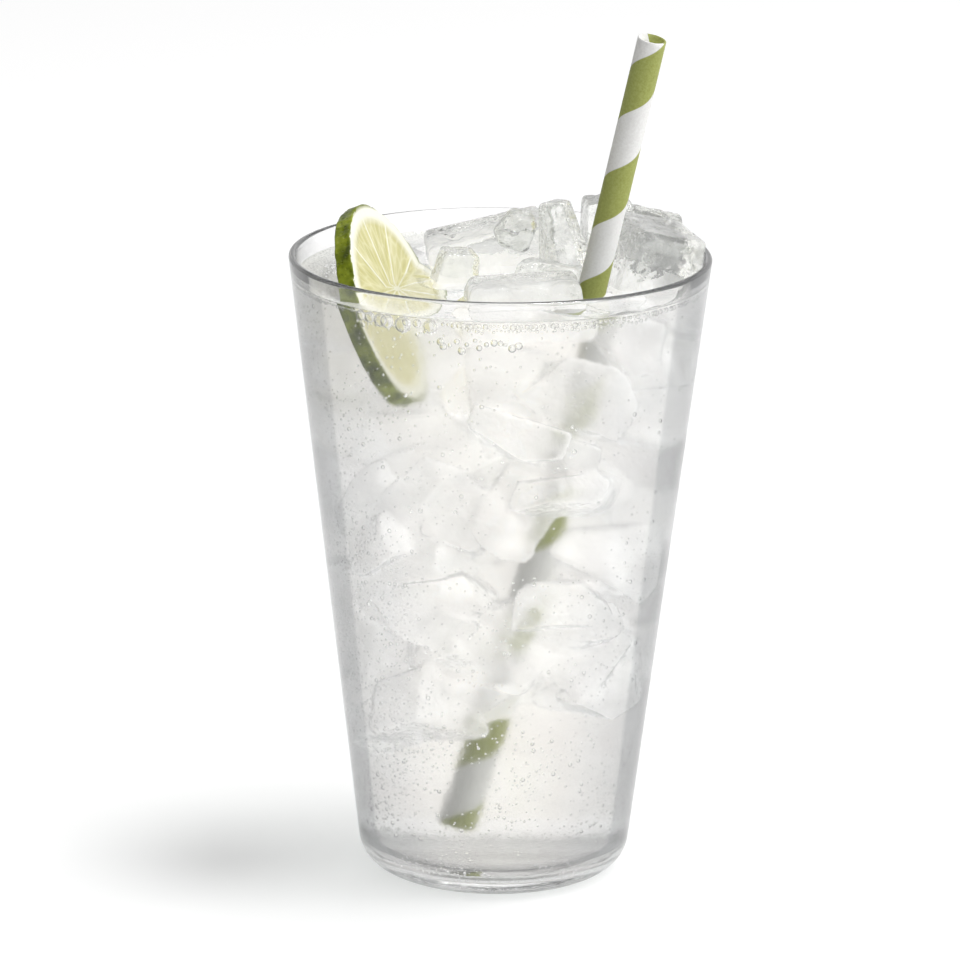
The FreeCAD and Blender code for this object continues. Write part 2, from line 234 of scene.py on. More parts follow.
# Water with gas in it: clear, its surface trembling a little from the bubbles.
def clearSoda(name, ior, settings):
    material, tree = newMaterial(name)
    place = addNode(tree, "ShaderNodeTexCoord").outputs["Object"]
    tremble = addNode(tree, "ShaderNodeTexNoise",
                      {"Vector": place, "Scale": 1 / settings["trembleLength"], "Detail": 3.0})
    skin = addNode(tree, "ShaderNodeBump", {"Height": tremble, "Strength": 0.25,
                                            "Distance": settings["trembleDepth"]})
    tone = addNode(tree, "ShaderNodeValToRGB", {"Fac": tremble},
                   stops=[(0.3, settings["deep"]), (0.7, settings["pale"])])
    # Painted reflection: where the soda is seen aslant, its colour is tinted greyer.
    turned = addNode(tree, "ShaderNodeLayerWeight", {"Blend": 0.5})
    paintedEdgeGrey = addNode(tree, "ShaderNodeValToRGB", {"Fac": turned.outputs["Facing"]},
                     stops=settings["paintedEdgeGrey"])
    toned = addNode(tree, "ShaderNodeMix", {0: 1.0, 6: tone, 7: paintedEdgeGrey}, data_type="RGBA",
                    blend_type="MULTIPLY")
    wet = addNode(tree, "ShaderNodeBsdfPrincipled",
                  {"Base Color": toned, "Roughness": settings["roughness"], "Normal": skin, "IOR": ior,
                   "Specular IOR Level": settings["mirror"], "Transmission Weight": 1.0})
    # A veil of foam lies on the soda along the wall, and most of it has drifted to one side.
    level = addNode(tree, "ShaderNodeVectorMath", {0: place, 1: (1.0, 1.0, 0.0)},
                    operation="MULTIPLY")
    reach = addNode(tree, "ShaderNodeVectorMath", {0: level}, operation="LENGTH")
    outer = addNode(tree, "ShaderNodeMapRange", {"Value": reach, "From Min": mm(30),
                                                 "From Max": mm(39), "To Max": settings["foam"]})
    cells = addNode(tree, "ShaderNodeTexVoronoi",
                    {"Vector": place, "Scale": 1 / settings["foamCell"]}, feature="DISTANCE_TO_EDGE")
    holes = addNode(tree, "ShaderNodeMapRange", {"Value": cells, "From Max": 0.3, "To Min": 1.0,
                                                 "To Max": 0.6})
    aside = addNode(tree, "ShaderNodeVectorMath", {0: place, 1: settings["drift"]},
                    operation="DOT_PRODUCT")
    drift = addNode(tree, "ShaderNodeMapRange", {"Value": aside, "From Min": mm(-18),
                                                 "From Max": mm(16), "To Min": 0.25})
    share = addNode(tree, "ShaderNodeMath", {0: outer, 1: holes}, operation="MULTIPLY")
    share = addNode(tree, "ShaderNodeMath", {0: share, 1: drift}, operation="MULTIPLY")
    bulge = addNode(tree, "ShaderNodeBump", {"Height": cells, "Strength": 0.4, "Distance": mm(0.3)})
    froth = addNode(tree, "ShaderNodeBsdfDiffuse", {"Color": settings["froth"], "Normal": bulge})
    foamy = addNode(tree, "ShaderNodeMixShader", {0: share, 1: wet, 2: froth})
    letLightPass(tree, foamy, settings["shade"])
    return material


# Ice that is melting: wet and clear outside, with milky patches where air froze in, and a
# skin of shallow dents. In the soda it bends light hardly at all. Its milk, laid also along
# its edges, gives off a painted glow, and the clear ice is painted greyer where it's seen aslant.
def wetIce(name, ior, settings):
    material, tree = newMaterial(name)
    place = addNode(tree, "ShaderNodeTexCoord").outputs["Object"]
    dents = addNode(tree, "ShaderNodeTexNoise", {"Vector": place, "Scale": 1 / settings["dentLength"],
                                                 "Detail": 3.0, "Distortion": 0.6})
    skin = addNode(tree, "ShaderNodeBump", {"Height": dents, "Strength": settings["dentStrength"],
                                            "Distance": settings["dentDepth"]})
    cloud = addNode(tree, "ShaderNodeTexNoise", {"Vector": place, "Scale": 1 / settings["cloudLength"],
                                                 "Detail": 5.0, "Roughness": 0.6})
    milky = addNode(tree, "ShaderNodeMapRange", {"Value": cloud, "From Min": 0.45, "From Max": 0.75,
                                                 "To Min": settings["haze"],
                                                 "To Max": settings["milkAndPaintedGlow"]})
    turned = addNode(tree, "ShaderNodeLayerWeight", {"Blend": 0.35, "Normal": skin})
    facing = turned.outputs["Facing"]
    rimmed = addNode(tree, "ShaderNodeMapRange", {"Value": facing, "From Min": 0.45,
                                                  "To Max": settings["edge"]})
    veil = addNode(tree, "ShaderNodeMath", {0: milky, 1: rimmed}, operation="MAXIMUM", use_clamp=True)
    tone = addNode(tree, "ShaderNodeValToRGB", {"Fac": cloud},
                   stops=[(0.3, settings["shadow"]), (0.65, settings["pale"])])
    rough = addNode(tree, "ShaderNodeMapRange", {"Value": cloud, "From Min": 0.35, "From Max": 0.75,
                                                 "To Min": settings["clearest"],
                                                 "To Max": settings["frost"]})
    # Painted shade: the clear ice is tinted greyer where it's seen aslant.
    paintedEdgeGrey = addNode(tree, "ShaderNodeValToRGB", {"Fac": facing},
                     stops=[(0.15, settings["pale"]), (0.45, settings["slant"]),
                            (0.8, settings["steep"])])
    clear = addNode(tree, "ShaderNodeBsdfPrincipled",
                    {"Base Color": paintedEdgeGrey, "Roughness": rough, "Normal": skin, "IOR": ior,
                     "Transmission Weight": 1.0})
    white = addNode(tree, "ShaderNodeBsdfDiffuse", {"Color": tone, "Normal": skin})
    # Painted light: the milk glows, though nothing lights it from within.
    glow = addNode(tree, "ShaderNodeEmission", {"Color": tone, "Strength": settings["glow"]})
    milkAndPaintedGlow = addNode(tree, "ShaderNodeAddShader", {0: white, 1: glow})
    both = addNode(tree, "ShaderNodeMixShader", {0: veil, 1: clear, 2: milkAndPaintedGlow})
    letLightPass(tree, both, settings["shade"])
    return material


# Gas in the soda: the light bends outward at its skin, which draws a dark ring with a
# bright middle. A faint painted glint, given off by its skin, lights each bubble.
def gasBubble(settings):
    material, tree = newMaterial("gasBubble")
    place = addNode(tree, "ShaderNodeTexCoord").outputs["Object"]
    speckle = addNode(tree, "ShaderNodeTexNoise", {"Vector": place, "Scale": 1 / mm(3)})
    tone = addNode(tree, "ShaderNodeValToRGB", {"Fac": speckle},
                   stops=[(0.3, "#EDEEEE"), (0.7, "#FFFFFF")])
    gas = addNode(tree, "ShaderNodeBsdfPrincipled",
                  {"Base Color": tone, "Roughness": 0.0, "IOR": settings["ior"],
                   "Transmission Weight": 1.0, "Emission Color": "#FFFFFF",
                   "Emission Strength": settings["paintedGlint"]})
    letLightPass(tree, gas, "#FFFFFF")
    return material


# The glass, one turned profile: hollow foot, heel, side, lip, and back down to the floor.
tumbler = dict(
    wall=mm(1.5), floor=mm(4), heel=mm(7.5), innerHeel=mm(6), pushUp=mm(0.8),
    pushUpRadius=mm(17), pushUpRings=8, footRadius=mm(28.35), steps=256, heelSteps=14, lipSteps=12,
    waveLength=mm(28), waveStrength=0.12, waveDepth=mm(0.5), filmLength=mm(9), dullest=0.02,
    # The foot's colour is a painted shade where the glass meets the table; it fades out over the given
    # heights.
    ior=1.52, mirror=0.15, shade="#F4F5F5", foot="#828280", footFade=(mm(0.2), mm(3)),
)
glassLow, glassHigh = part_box("glass")
glassHeight = glassHigh.z
rimRadius = (glassHigh.x - glassLow.x) / 2
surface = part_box("drink")[1].z        # the soda's level
sideTurn = math.degrees(math.atan((rimRadius - tumbler["footRadius"]) / glassHeight))
sideSlope = math.tan(math.radians(sideTurn))
wallAcross = tumbler["wall"] / math.cos(math.radians(sideTurn))


def outerRadius(height):
    return tumbler["footRadius"] + sideSlope * height


def insideWall(height, sink=0.0):
    return outerRadius(height) - wallAcross + sink


# The middle of a curve that touches the side, this far in from it.
def alongSide(height, inset):
    return outerRadius(height) - inset / math.cos(math.radians(sideTurn)), height


# The inside of the glass from the middle of its floor up to a height, moved outward by sink.
def innerProfile(top, sink, steps):
    curve = tumbler["innerHeel"]
    centre = alongSide(tumbler["floor"] + curve, tumbler["wall"] + curve)
    heel = arc(centre, curve + sink, -90, -sideTurn, tumbler["heelSteps"])
    start = heel[-1][1]
    heights = [start + (top - start) * i / steps for i in range(1, steps + 1)]
    floor = [(centre[0] * i / 4, tumbler["floor"] - sink) for i in range(4)]
    return floor + heel + [(insideWall(height, sink), height) for height in heights]


lip = alongSide(glassHeight - tumbler["wall"] / 2, tumbler["wall"] / 2)
heelCentre = alongSide(tumbler["heel"], tumbler["heel"])
outline = []
for i in range(tumbler["pushUpRings"] + 1):
    share = i / tumbler["pushUpRings"]
    outline.append((tumbler["pushUpRadius"] * share, tumbler["pushUp"] * (1 - share ** 2)))
outline += arc(heelCentre, tumbler["heel"], -90, -sideTurn, tumbler["heelSteps"])
outline += arc(lip, tumbler["wall"] / 2, -sideTurn, 180 - sideTurn, tumbler["lipSteps"])
inner = innerProfile(glassHeight - tumbler["wall"], 0, 1)[:-1]
glassPiece = turnedPiece("tumbler", outline + inner[::-1], tumbler["steps"], [clearGlass(tumbler)])
hand(glassPiece, "glass", "glass")
print("glass: turned,", len(glassPiece.data.polygons), "faces")

# The ice that shows above the surface: nine cubes, melted from their plain solids.
ice = dict(
    nodes=["ice_slab", "ice_peak", "ice_post", "ice_block", "ice_front", "ice_middle",
           "ice_flake", "ice_small", "ice_chip"],
    voxel=mm(0.38), bigDent=mm(1.3), bigDentLength=mm(4.6), ripple=mm(0.34), rippleLength=mm(1.6),
)
# In each finish, glow is a painted glow of the milk, and slant and steep are painted greys for where the
# ice is seen aslant.
iceFinish = dict(
    dentLength=mm(2.1), dentStrength=0.75, dentDepth=mm(0.5), cloudLength=mm(7), milkAndPaintedGlow=0.2, haze=0.0,
    glow=0.06, edge=0.05, frost=0.06, clearest=0.0, shadow="#8E908F", pale="#F6F7F5",
    slant="#DDDEDB", steep="#8B8D8C", shade="#F8F8F8",
)
sunkFinish = dict(
    iceFinish, dentLength=mm(1.5), dentStrength=0.6, cloudLength=mm(11), milkAndPaintedGlow=0.72, haze=0.32,
    glow=0.42, edge=0.3, frost=0.75, clearest=0.55, shadow="#DADADB", pale="#FFFEFD",
    slant="#FAFAFA", steep="#E4E5E7", shade="#FCFCFC",
)
iceInAir = wetIce("meltingIceInAir", 1.31, iceFinish)
iceInSoda = wetIce("meltingIceInSoda", 0.94, sunkFinish)


# Melting eats dents into ice: wide shallow ones, and fine ripples over them.
def meltedSkin(mesh, settings, shift):
    mesh.normal_update()
    moves = []
    for vertex in mesh.verts:
        wide = noise.fractal(vertex.co / settings["bigDentLength"] + shift, 1.0, 2.0, 2)
        facets = noise.voronoi(vertex.co / settings["bigDentLength"] * 0.8 + shift)[0][0]
        fine = noise.noise(vertex.co / settings["rippleLength"] + shift)
        depth = settings["bigDent"] * (0.35 + 0.45 * wide - 0.5 * facets) + settings["ripple"] * fine
        moves.append(min(depth, 0))
    for vertex, move in zip(mesh.verts, moves):
        vertex.co += vertex.normal * move


# Faces under the soda's level take the second finish.
def splitAtSurface(mesh):
    cutAt(mesh, surface, dist=mm(0.001))
    for face in mesh.faces:
        face.material_index = int(face.calc_center_median().z < surface)
        face.smooth = True


icePieces = []
for number, node in enumerate(ice["nodes"]):
    piece = addObject("melted_" + node, bpy.data.objects[node].data.copy())
    piece.data.materials.clear()
    editMesh(piece, lambda mesh: bmesh.ops.remove_doubles(mesh, verts=mesh.verts, dist=mm(0.005)))
    addModifier(piece, "REMESH", mode="VOXEL", voxel_size=ice["voxel"])
    addModifier(piece, "SMOOTH", factor=0.5, iterations=3)
    settle(piece)
    shift = Vector((number * 7.3, number * 3.1, number * 5.7))
    editMesh(piece, lambda mesh: meltedSkin(mesh, ice, shift))
    editMesh(piece, splitAtSurface)
    piece.data.materials.append(iceInAir)
    piece.data.materials.append(iceInSoda)
    hand(piece, "ice", node)
    icePieces.append(piece)
print("ice: melted", len(icePieces), "cubes,", sum(len(p.data.polygons) for p in icePieces), "faces")

# The soda fills the glass just into its wall, and its surface climbs a little at the wall.
soda = dict(
    sink=mm(0.08), steps=256, sideRings=40, climb=mm(0.9), climbLength=mm(1.7),
    clearOfIce=mm(0.06), slice=(mm(-1.5), mm(3)), ior=1.333, roughness=0.0, mirror=0.5,
    deep="#FCFCFB", pale="#FFFFFF", shade="#F6F6F5", paintedEdgeGrey=[(0.0, "#FFFFFF")],
    trembleLength=mm(5), trembleDepth=mm(0.5), foam=0.75, foamCell=mm(0.7), froth="#F5F5F1",
    drift=(-0.8, 0.6, 0.0),
    # Rings of the surface, in mm in from the wall.
    rings=[0.0, 0.02, 0.15, 0.35, 0.6, 0.9, 1.3, 1.8, 2.4, 3.2, 4.4, 6.5, 10, 16, 24, 32],
)
# Painted reflection: at its sides the soda is tinted greyer where it's seen aslant, which draws grey
# bands along the wall.
sodaSide = dict(
    soda, roughness=0.22, mirror=0.0, foam=0.0,
    paintedEdgeGrey=[(0.02, "#FFFDF7"), (0.12, "#DEDEDE"), (0.2, "#D1D2D2"), (0.208, "#A8AAAC")],
)
lowest = surface - soda["climb"] * 0.25
brimHeight = lowest + soda["climb"]
brim = insideWall(brimHeight, soda["sink"])
sodaProfile = innerProfile(brimHeight - mm(0.02), soda["sink"], soda["sideRings"])
for inset in soda["rings"]:
    climb = soda["climb"] * math.exp(-mm(inset) / soda["climbLength"])
    sodaProfile.append((brim - mm(inset), lowest + climb))
sodaProfile.append((0, lowest))
sodaPiece = turnedPiece("soda", sodaProfile, soda["steps"],
                        [clearSoda("sodaWater", soda["ior"], soda),
                         clearSoda("sodaWaterOnIce", 1.0, dict(soda, foam=0.0)),
                         clearSoda("sodaWaterOnGlass", soda["ior"], sodaSide)])
for face in sodaPiece.data.polygons:
    if abs(face.normal.z) < 0.5 and face.center.z < brimHeight - mm(0.03):
        face.material_index = 2


# A slice of a cube about the soda's level, a hair smaller than it: the soda leaves this open.
def iceSlice(mesh):
    under, over = soda["slice"]
    for height, up in ((surface + under, -1), (surface + over, 1)):
        made = cutAt(mesh, height, up, clear_outer=True)
        edges = [e for e in made["geom_cut"] if isinstance(e, bmesh.types.BMEdge)]
        if edges:
            bmesh.ops.holes_fill(mesh, edges=edges)
    mesh.normal_update()
    inward = [v.normal * -soda["clearOfIce"] for v in mesh.verts]
    for vertex, move in zip(mesh.verts, inward):
        vertex.co += move
    for face in mesh.faces:
        face.material_index = 1


for cube in icePieces:
    cutter = addObject("cutter", cube.data.copy())
    editMesh(cutter, iceSlice)
    if cutter.data.polygons:
        addModifier(sodaPiece, "BOOLEAN", operation="DIFFERENCE", object=cutter, solver="EXACT")
        settle(sodaPiece)
    bpy.data.objects.remove(cutter)
sodaPiece.data.shade_smooth()
hand(sodaPiece, "drink", "drink")
print("soda: poured,", len(sodaPiece.data.polygons), "faces")

# Ice under the surface: broken cubes, run together into one mesh.
sunk = dict(
    seed=5, steps=12, square=9.0, breaks=9, breakDepth=(0.5, 0.85), count=92, smallest=mm(15),
    largest=mm(25), flat=0.7, tilt=0.6, lowest=mm(37), underSurface=mm(2.5), spread=0.4,
    inFromWall=mm(8), offWall=mm(1.2), voxel=mm(0.8), bigDent=mm(0.35), bigDentLength=mm(5),
    ripple=mm(0.1), rippleLength=mm(2.2), shift=(2.5, 8.5, 4.5),
    # Pieces that lie between the straw and the front wall.
    front=[(mm(13), mm(-23), mm(112)), (mm(9), mm(-21), mm(98)), (mm(-5), mm(-16), mm(46))],
)
limeLow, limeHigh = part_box("lime_slice")
limeMiddle = (limeLow + limeHigh) / 2
limeTurn = Euler((0, math.radians(65.4), math.radians(-16.3)))
limeMatrix = limeTurn.to_matrix()
limeAxis = limeMatrix @ Vector((0, 0, 1))


# The lime lies against the wall with clear soda before its cut face.
def beforeLime(place):
    ahead = (place - limeMiddle).dot(limeAxis)
    return place.z > mm(97) and place.x < mm(-1) and place.y < mm(8) and ahead > mm(-6)


# A cube from a tray, its edges melted round: the higher the power, the squarer it is.
def roundedCube(steps, square):
    vertices, faces, seen = [], [], {}

    def corner(point):
        key = tuple(round(c, 6) for c in point)
        if key not in seen:
            reach = sum(abs(c) ** square for c in point) ** (-1 / square)
            seen[key] = len(vertices)
            vertices.append(Vector(point) * reach)
        return seen[key]

    for axis in range(3):
        for side in (-1, 1):
            for i in range(steps):
                for j in range(steps):
                    ends = []
                    for u, v in ((i, j), (i + 1, j), (i + 1, j + 1), (i, j + 1)):
                        point = [0.0, 0.0, 0.0]
                        point[axis] = side
                        point[(axis + 1) % 3] = 2 * u / steps - 1
                        point[(axis + 2) % 3] = 2 * v / steps - 1
                        ends.append(corner(point))
                    faces.append(ends if side > 0 else ends[::-1])
    return vertices, faces


# Breaks flat faces off a cube: what lies past a random plane is pressed back onto it.
def brokenShape(shape, rng):
    points = [p.copy() for p in shape]
    for _ in range(sunk["breaks"]):
        facing = Vector([rng.gauss(0, 1) for _ in range(3)]).normalized()
        depth = rng.uniform(*sunk["breakDepth"])
        for point in points:
            past = point.dot(facing) - depth
            if past > 0:
                point -= facing * past
    return points


cubeShape, cubeFaces = roundedCube(sunk["steps"], sunk["square"])
rng = random.Random(sunk["seed"])
sunkVertices, sunkFaces, sunkCount = [], [], 0
highest = surface - sunk["largest"] * 0.4
tilt = sunk["tilt"]
while sunkCount < sunk["count"]:
    height = sunk["lowest"] + (highest - sunk["lowest"]) * rng.random()
    heading = rng.uniform(0, 2 * math.pi)
    reach = (insideWall(height) - sunk["inFromWall"]) * rng.random() ** sunk["spread"]
    middle = Vector((reach * math.cos(heading), reach * math.sin(heading), height))
    if sunkCount < len(sunk["front"]):
        middle = Vector(sunk["front"][sunkCount])
    size = [rng.uniform(sunk["smallest"], sunk["largest"]) for _ in range(3)]
    size[2] *= sunk["flat"]
    turn = Euler([rng.uniform(-tilt, tilt), rng.uniform(-tilt, tilt), rng.uniform(0, 6.28)]).to_matrix()
    if beforeLime(middle):
        continue
    sunkCount += 1
    start = len(sunkVertices)
    for point in brokenShape(cubeShape, rng):
        sized = Vector([c * side / 2 for c, side in zip(point, size)])
        place = middle + turn @ sized
        reach = math.hypot(place.x, place.y)
        most = insideWall(place.z) - sunk["offWall"]
        if reach > most:
            place.x, place.y = place.x * most / reach, place.y * most / reach
        place.z = min(place.z, surface - sunk["underSurface"])
        sunkVertices.append(place)
    sunkFaces += [[start + corner for corner in face] for face in cubeFaces]
sunkPiece = meshPiece("sunkIce", sunkVertices, sunkFaces, [iceInSoda])
addModifier(sunkPiece, "REMESH", mode="VOXEL", voxel_size=sunk["voxel"])
settle(sunkPiece)
editMesh(sunkPiece, lambda mesh: meltedSkin(mesh, sunk, Vector(sunk["shift"])))
sunkPiece.data.shade_smooth()
hand(sunkPiece, "ice")
print("sunk ice:", sunkCount, "pieces,", len(sunkPiece.data.polygons), "faces")

# Bubbles: two beds of them cling to the wall, and rows lie along the level.
bubbles = dict(
    # How many per square metre, smallest and largest radius, roundness, seed.
    beds={"wallBubbles": (120000.0, mm(0.26), mm(0.5), 2, 11),
          "fineBubbles": (650000.0, mm(0.17), mm(0.3), 1, 12)},
    # The glint is a painted highlight, light the bubbles give off themselves.
    bedLowest=mm(5), bedSteps=96, bedRows=40, seed=11, paintedGlint=0.04, ior=0.82,
    # Headings from and to, how many, radii in mm, how far in from the wall and how far below
    # the level, in mm.
    rows=[(-134, -108, 8, 0.9, 1.9, 0.0, 0.0), (-134, -108, 16, 0.25, 0.5, 0.1, 2.2),
          (-106, -25, 64, 0.3, 0.75, 0.0, 0.0), (-100, -40, 60, 0.2, 0.5, 0.6, 1.2),
          (-108, -84, 14, 0.45, 0.9, 0.2, 4.2), (-30, 60, 70, 0.25, 0.6, 0.0, 0.2),
          (120, 232, 170, 0.2, 0.5, 0.0, 0.0), (130, 225, 260, 0.15, 0.4, 5.0, 0.0),
          (60, 120, 60, 0.25, 0.6, 0.0, 0.0)],
)
bedInputs = {"Per Square Metre": "Float", "Smallest": "Float", "Largest": "Float",
             "Roundness": "Int", "Seed": "Int"}
gas = gasBubble(bubbles)


# Bubbles scattered over a bed, thickest where its crowding is highest, each touching it.
def bubbleTree(name, material):
    tree = bpy.data.node_groups.new(name, "GeometryNodeTree")
    face = tree.interface
    face.new_socket("Bed", in_out="INPUT", socket_type="NodeSocketGeometry")
    for socket, kind in bedInputs.items():
        face.new_socket(socket, in_out="INPUT", socket_type="NodeSocket" + kind)
    face.new_socket("Bubbles", in_out="OUTPUT", socket_type="NodeSocketGeometry")
    given = addNode(tree, "NodeGroupInput").outputs
    crowding = addNode(tree, "GeometryNodeInputNamedAttribute", data_type="FLOAT")
    crowding.inputs["Name"].default_value = "crowding"
    density = addNode(tree, "ShaderNodeMath", {0: given["Per Square Metre"], 1: crowding},
                      operation="MULTIPLY")
    spread = addNode(tree, "GeometryNodeDistributePointsOnFaces",
                     {"Mesh": given["Bed"], "Density": density, "Seed": given["Seed"]})
    chance = addNode(tree, "FunctionNodeRandomValue", {"Seed": given["Seed"]})
    skewed = addNode(tree, "ShaderNodeMath", {0: chance, 1: 2.2}, operation="POWER")
    radius = addNode(tree, "ShaderNodeMapRange", {"Value": skewed, "To Min": given["Smallest"],
                                                  "To Max": given["Largest"]})
    off = addNode(tree, "ShaderNodeVectorMath", {0: spread.outputs["Normal"], "Scale": radius},
                  operation="SCALE")
    moved = addNode(tree, "GeometryNodeSetPosition", {"Geometry": spread, "Offset": off})
    ball = addNode(tree, "GeometryNodeMeshIcoSphere", {"Radius": 1.0,
                                                       "Subdivisions": given["Roundness"]})
    placed = addNode(tree, "GeometryNodeInstanceOnPoints", {"Points": moved, "Instance": ball,
                                                            "Scale": radius})
    real = addNode(tree, "GeometryNodeRealizeInstances", {"Geometry": placed})
    finish = addNode(tree, "GeometryNodeSetMaterial", {"Geometry": real, "Material": material})
    addNode(tree, "NodeGroupOutput", {0: finish})
    return tree


# The inner wall up to just under the level, facing inward, with a crowding for each corner.
def wallBed(name, heights, crowd):
    steps = bubbles["bedSteps"]
    vertices = [(insideWall(z) * c, insideWall(z) * s, z) for z in heights for c, s in circle(steps)]
    faces = [(r * steps + (i + 1) % steps, r * steps + i, (r + 1) * steps + i,
              (r + 1) * steps + (i + 1) % steps)
             for r in range(len(heights) - 1) for i in range(steps)]
    bed = meshPiece(name, vertices, faces, [])
    values = bed.data.attributes.new("crowding", "FLOAT", "POINT")
    values.data.foreach_set("value", [crowd(Vector(v)) for v in vertices])
    return bed


def wallCrowding(place):
    height = place.z / surface
    side = 0.5 - 0.5 * place.x / insideWall(place.z)
    patch = 0.5 + 0.9 * noise.noise(place / mm(14))
    heel = math.exp(-((place.z - mm(9)) / mm(5)) ** 2)
    return max(0, (0.15 + 0.9 * (1 - height) ** 2 + 1.0 * side ** 3 + heel) * patch)


bedHeights = [bubbles["bedLowest"] + (surface - mm(6)) * i / bubbles["bedRows"]
              for i in range(bubbles["bedRows"] + 1)]
tree = bubbleTree("bubblesOnWall", gas)
for name, values in bubbles["beds"].items():
    given = dict(zip(bedInputs, values))
    bed = wallBed(name, bedHeights, wallCrowding)
    scatter = addModifier(bed, "NODES", node_group=tree)
    for socket in tree.interface.items_tree:
        if socket.name in given:
            scatter[socket.identifier] = given[socket.name]
    settle(bed)
    bed.data.shade_smooth()
    hand(bed, "drink")
    print("bubbles:", name + ",", len(bed.data.polygons), "faces")

ballMesh = bmesh.new()
bmesh.ops.create_icosphere(ballMesh, subdivisions=2, radius=1)
ballShape = [v.co.copy() for v in ballMesh.verts]
ballFaces = [[v.index for v in f.verts] for f in ballMesh.faces]
ballMesh.free()
rng = random.Random(bubbles["seed"])
rowVertices, rowFaces = [], []
for start, end, count, smallest, largest, inset, below in bubbles["rows"]:
    for i in range(count):
        heading = math.radians(start + (end - start) * (i + rng.uniform(0.2, 0.8)) / count)
        radius = mm(smallest + (largest - smallest) * rng.random() ** 2)
        reach = insideWall(surface) - mm(0.05) - radius - mm(inset) * rng.uniform(0.2, 2)
        height = surface - radius * 0.9 - mm(below) * rng.uniform(0.7, 1.3)
        middle = Vector((reach * math.cos(heading), reach * math.sin(heading), height))
        first = len(rowVertices)
        rowVertices += [middle + point * radius for point in ballShape]
        rowFaces += [[first + corner for corner in face] for face in ballFaces]
rowPiece = meshPiece("brimBubbles", rowVertices, rowFaces, [gas])
hand(rowPiece, "drink")
print("bubbles: at the level,", len(rowFaces), "faces")

# The lime, a slice that leans on the wall, half in the soda.
lime = dict(
    radius=mm(22), half=mm(1.9), round=mm(0.5), segments=10, around=400, rings=36,
    flesh=mm(18.6), pith=mm(20.7), core=mm(1.6), membrane=mm(0.45), dish=mm(0.3),
    dishEdge=mm(1.2), skinEdge=mm(0.9), sacsAround=9.0, sacLength=mm(5.5),
    pore=mm(0.38), poreLength=mm(1.6), poreRim=mm(0.35), uneven=mm(0.75), unevenAround=7.5,
    flats=[(225, 34, mm(1.7)), (138, 20, mm(1.0))],   # heading, width in degrees, depth
)


# A piece's own frame in its material, so that patterns follow a tilted piece.
def ownFrame(tree, middle, turn):
    place = addNode(tree, "ShaderNodeTexCoord").outputs["Object"]
    return addNode(tree, "ShaderNodeMapping", {"Vector": place, "Location": middle, "Rotation": turn},
                   vector_type="TEXTURE")


# Cut lime flesh: wet, pale yellow-green, a fan of thin-skinned sacs in each segment, with
# white membranes between the segments and a white pith round them.
def limeFlesh():
    material, tree = newMaterial("cutLimeFlesh")
    place = ownFrame(tree, limeMiddle, limeTurn)
    parts = addNode(tree, "ShaderNodeSeparateXYZ", {0: place}).outputs
    angle = addNode(tree, "ShaderNodeMath", {0: parts["Y"], 1: parts["X"]}, operation="ARCTAN2")
    across = addNode(tree, "ShaderNodeVectorMath", {0: place, 1: (1.0, 1.0, 0.0)},
                     operation="MULTIPLY")
    radius = addNode(tree, "ShaderNodeVectorMath", {0: across}, operation="LENGTH")
    turned = addNode(tree, "ShaderNodeMath", {0: angle, 1: lime["sacsAround"]}, operation="MULTIPLY")
    along = addNode(tree, "ShaderNodeMath", {0: radius, 1: 1 / lime["sacLength"]},
                    operation="MULTIPLY")
    fan = addNode(tree, "ShaderNodeCombineXYZ", {0: turned, 1: along})
    sacs = addNode(tree, "ShaderNodeTexVoronoi", {"Vector": fan, "Scale": 1.0}, feature="F1")
    skins = addNode(tree, "ShaderNodeTexVoronoi", {"Vector": fan, "Scale": 1.0},
                    feature="DISTANCE_TO_EDGE")
    sacTone = addNode(tree, "ShaderNodeValToRGB", {"Fac": sacs},
                      stops=[(0.1, "#B5B06A"), (0.5, "#CDC88E"), (0.9, "#E0DBB2")])
    skinTone = addNode(tree, "ShaderNodeValToRGB", {"Fac": skins},
                       stops=[(0.0, "#E6E2BE"), (0.09, "#D3CD95")])
    flesh = addNode(tree, "ShaderNodeMix", {0: 0.45, 6: sacTone, 7: skinTone}, data_type="RGBA")
    wedge = addNode(tree, "ShaderNodeMath", {0: angle, 1: lime["segments"] / (2 * math.pi)},
                    operation="MULTIPLY")
    saw = addNode(tree, "ShaderNodeMath", {0: wedge}, operation="FRACT")
    toEdge = addNode(tree, "ShaderNodeMath", {0: saw, 1: 0.5}, operation="SUBTRACT")
    near = addNode(tree, "ShaderNodeMath", {0: toEdge}, operation="ABSOLUTE")
    gap = addNode(tree, "ShaderNodeMath", {0: 0.5, 1: near}, operation="SUBTRACT")
    width = addNode(tree, "ShaderNodeMath", {0: gap, 1: radius}, operation="MULTIPLY")
    membrane = addNode(tree, "ShaderNodeMapRange",
                       {"Value": width, "From Min": lime["membrane"] * 0.4,
                        "From Max": lime["membrane"] * 1.3, "To Min": 1.0, "To Max": 0.0})
    share = addNode(tree, "ShaderNodeMath", {0: radius, 1: lime["radius"]}, operation="DIVIDE")
    ring = addNode(tree, "ShaderNodeValToRGB", {"Fac": share},
                   stops=[(0.05, 1.0), (0.08, 0.0), (0.77, 0.0), (0.86, 1.0)])
    white = addNode(tree, "ShaderNodeMath", {0: membrane, 1: ring}, operation="MAXIMUM",
                    use_clamp=True)
    pale = addNode(tree, "ShaderNodeMix", {0: white, 6: flesh, 7: "#F1F0E0"}, data_type="RGBA")
    rim = addNode(tree, "ShaderNodeValToRGB", {"Fac": share}, stops=[(0.925, 0.0), (0.965, 1.0)])
    green = addNode(tree, "ShaderNodeMix", {0: rim, 6: pale, 7: "#737A2A"}, data_type="RGBA")
    bump = addNode(tree, "ShaderNodeBump", {"Height": skins, "Strength": 0.5, "Distance": mm(0.4)})
    wet = addNode(tree, "ShaderNodeBsdfPrincipled",
                  {"Base Color": green, "Roughness": 0.32, "IOR": 1.36, "Normal": bump})
    addNode(tree, "ShaderNodeOutputMaterial", {"Surface": wet})
    return material


